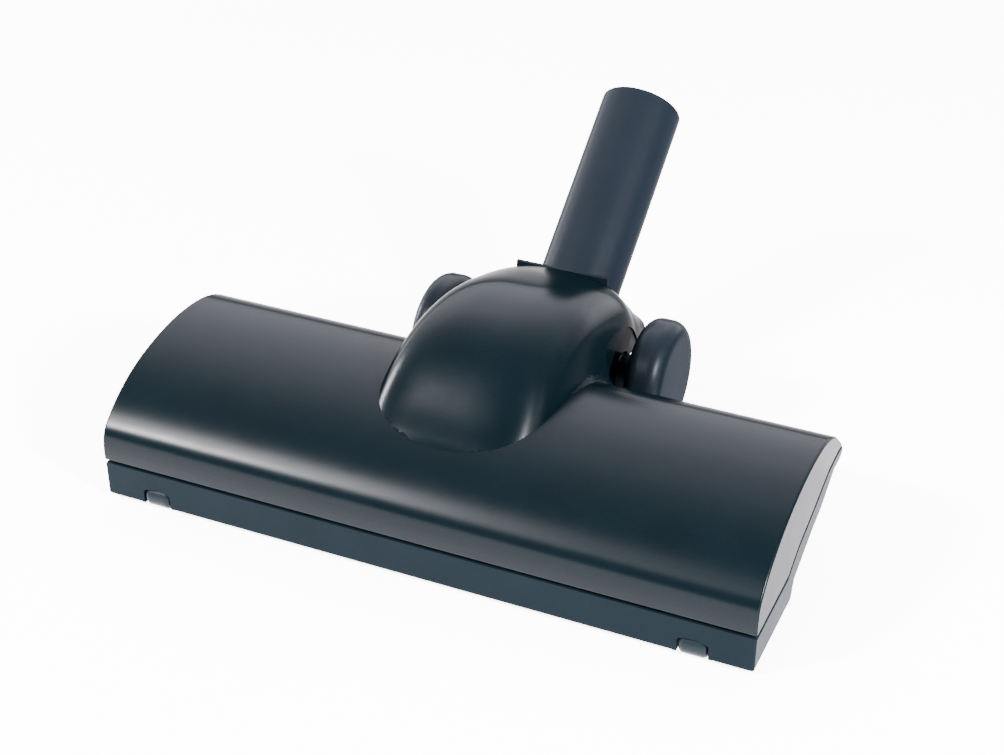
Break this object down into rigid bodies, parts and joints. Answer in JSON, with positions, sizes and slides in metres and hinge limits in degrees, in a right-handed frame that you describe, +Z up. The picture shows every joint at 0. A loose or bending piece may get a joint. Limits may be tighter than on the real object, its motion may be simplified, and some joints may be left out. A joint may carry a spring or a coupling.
{
  "type": "vacuum turbo brush",
  "caption": "Air-driven floor head for a vacuum cleaner: wide cover with a domed turbine housing, belt-driven brush roll, rear wheels and a tilting, swivelling neck.",
  "frame": {"origin": "on the floor, under the middle of the whole object's box", "axes": "+X to the right seen from the front, along the head's width; +Y to the back, where the neck leaves; +Z up"},
  "size_m": [0.29, 0.2679, 0.1198],
  "materials": {
    "cover_plastic": "moulded, semi-gloss, blue-black",
    "base_plastic": "moulded, semi-gloss, blue-black",
    "neck_plastic": "moulded, semi-gloss, blue-black",
    "yoke_plastic": "moulded, satin",
    "wheel_plastic": "moulded, satin, slightly scuffed tread",
    "roller_plastic": "moulded, satin",
    "axle_plastic": "moulded, satin",
    "case_plastic": "moulded, matt grey",
    "turbine_plastic": "moulded, natural nylon",
    "inner_plastic": "moulded, matt",
    "core_plastic": "moulded, matt",
    "pulley_plastic": "moulded, matt",
    "bristle_nylon": "stiff nylon bristle",
    "belt_rubber": "ribbed moulded rubber",
    "seat_rubber": "moulded rubber",
    "seal_felt": "pressed felt",
    "shaft_steel": "ground",
    "screw_steel": "zinc plated",
    "bearing_bronze": "sintered bronze"
  },
  "bodies": {
    "head": {"top_cover": "cover_plastic", "lower_housing": "base_plastic", "turbine_case_lower": "case_plastic", "turbine_case_upper": "case_plastic", "case_screws": "screw_steel", "housing_screws_long": "screw_steel", "housing_screws_short": "screw_steel", "turbine_bearing_right": "bearing_bronze", "turbine_bearing_left": "bearing_bronze", "turbine_seat_right": "seat_rubber", "turbine_seat_left": "seat_rubber", "drive_belt": "belt_rubber", "brush_end_block_left": "inner_plastic", "brush_end_block_right": "inner_plastic", "brush_bush_left": "bearing_bronze", "brush_bush_right": "bearing_bronze", "belt_guard": "inner_plastic", "wheel_axle_right": "axle_plastic", "wheel_axle_left": "axle_plastic", "roller_pin_right": "shaft_steel", "roller_pin_left": "shaft_steel"},
    "brush": {"brush_core": "core_plastic", "bristle_strip_a": "bristle_nylon", "bristle_strip_b": "bristle_nylon", "brush_shaft": "shaft_steel", "brush_pulley": "pulley_plastic"},
    "rotor": {"turbine_wheel": "turbine_plastic", "turbine_shaft": "shaft_steel", "drive_pinion": "pulley_plastic"},
    "yoke": {"neck_yoke": "yoke_plastic", "neck_seal": "seal_felt"},
    "neck": {"neck_tube": "neck_plastic", "swivel_ring": "inner_plastic"},
    "wheel_right": {"rear_wheel_right": "wheel_plastic"},
    "wheel_left": {"rear_wheel_left": "wheel_plastic"},
    "roller_right": {"front_roller_right": "roller_plastic"},
    "roller_left": {"front_roller_left": "roller_plastic"}
  },
  "joints": [
    {"name": "brush_spin", "type": "hinge", "parent": "head", "child": "brush", "pos_m": [0, -0.10416, 0.021], "axis": [1, 0, 0], "continuous": true, "deforming": ["drive_belt"]},
    {"name": "rotor_spin", "type": "hinge", "parent": "head", "child": "rotor", "pos_m": [0, -0.04559, 0.0435], "axis": [1, 0, 0], "continuous": true},
    {"name": "neck_tilt", "type": "hinge", "parent": "head", "child": "yoke", "pos_m": [0, 0.01204, 0.02725], "axis": [-1, 0, 0], "range_deg": [0, 28]},
    {"name": "neck_swivel", "type": "hinge", "parent": "yoke", "child": "neck", "pos_m": [0, 0.015, 0.02334], "axis": [0, 0.7976, 0.6032], "continuous": true},
    {"name": "wheel_spin_right", "type": "hinge", "parent": "head", "child": "wheel_right", "pos_m": [0.052, 0.01204, 0.02725], "axis": [1, 0, 0], "continuous": true},
    {"name": "wheel_spin_left", "type": "hinge", "parent": "head", "child": "wheel_left", "pos_m": [-0.052, 0.01204, 0.02725], "axis": [1, 0, 0], "continuous": true},
    {"name": "roller_spin_right", "type": "hinge", "parent": "head", "child": "roller_right", "pos_m": [0.1202, -0.12876, 0.0052], "axis": [1, 0, 0], "continuous": true},
    {"name": "roller_spin_left", "type": "hinge", "parent": "head", "child": "roller_left", "pos_m": [-0.1202, -0.12876, 0.0052], "axis": [1, 0, 0], "continuous": true}
  ],
  "couplings": [
    {"joint": "rotor_spin", "follows": "brush_spin", "ratio": 2}
  ]
}
